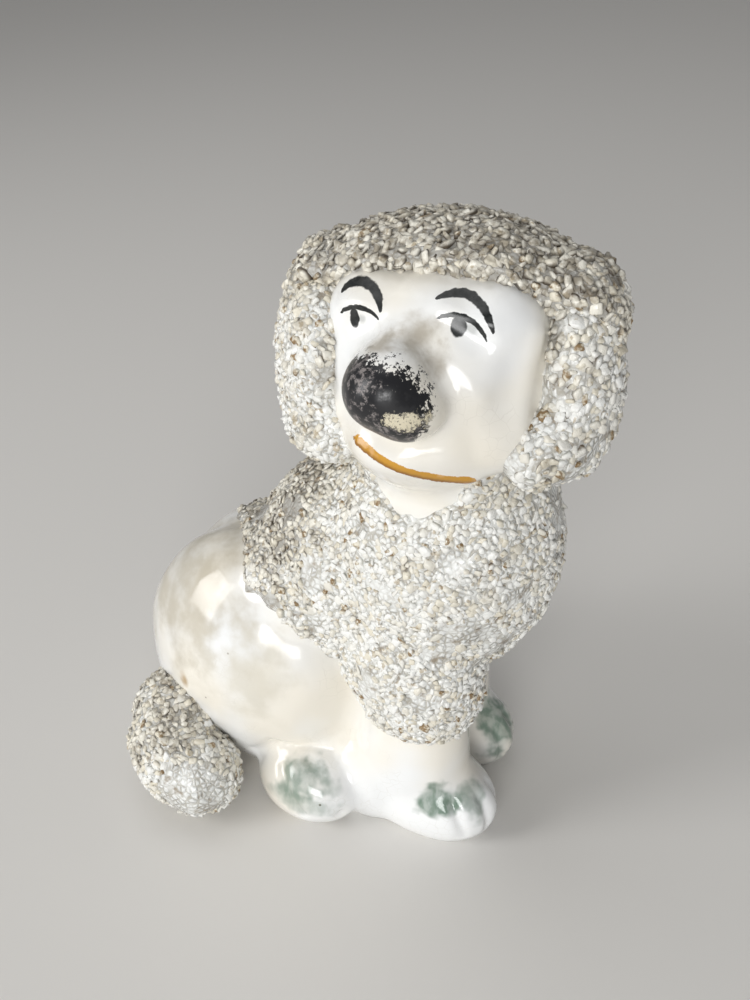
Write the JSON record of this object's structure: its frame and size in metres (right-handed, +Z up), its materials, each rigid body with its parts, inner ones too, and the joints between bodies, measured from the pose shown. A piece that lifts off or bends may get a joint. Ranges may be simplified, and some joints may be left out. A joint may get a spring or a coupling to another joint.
{
  "type": "ceramic dog figurine",
  "caption": "Sitting poodle figurine in white glazed earthenware, head turned to the side, with crusted shred mane, crown, ears and tail, painted face and collar, and green-washed paws.",
  "frame": {"origin": "on the surface that the figure stands on, under the centre of its bounding box", "axes": "+Z up, +X the way the chest points, and -Y the side that the face is turned to"},
  "size_m": [0.0678, 0.0542, 0.0915],
  "materials": {
    "white_glaze": "glossy, faintly cream, finely crazed",
    "painted_face": "glossy white with black brows, eyes and muzzle and an ochre collar line",
    "paw_glaze": "glossy white with a grey-green wash on the toes",
    "shred_coat": "glazed clay shreds, grey-brown in the gaps",
    "biscuit": "unglazed, matt"
  },
  "bodies": {
    "root": {"body_near_half": "white_glaze", "body_far_half": "white_glaze", "foot_slab": "biscuit", "head_face_half": "painted_face", "head_back_half": "white_glaze", "foreleg_near": "paw_glaze", "foreleg_far": "paw_glaze", "hind_paw_near": "paw_glaze", "hind_paw_far": "paw_glaze", "ear_near": "white_glaze", "ear_far": "white_glaze", "tail_core": "white_glaze", "crown_coat": "shred_coat", "ear_coat_near": "shred_coat", "ear_coat_far": "shred_coat", "mane_coat": "shred_coat", "tail_coat": "shred_coat"}
  },
  "joints": []
}
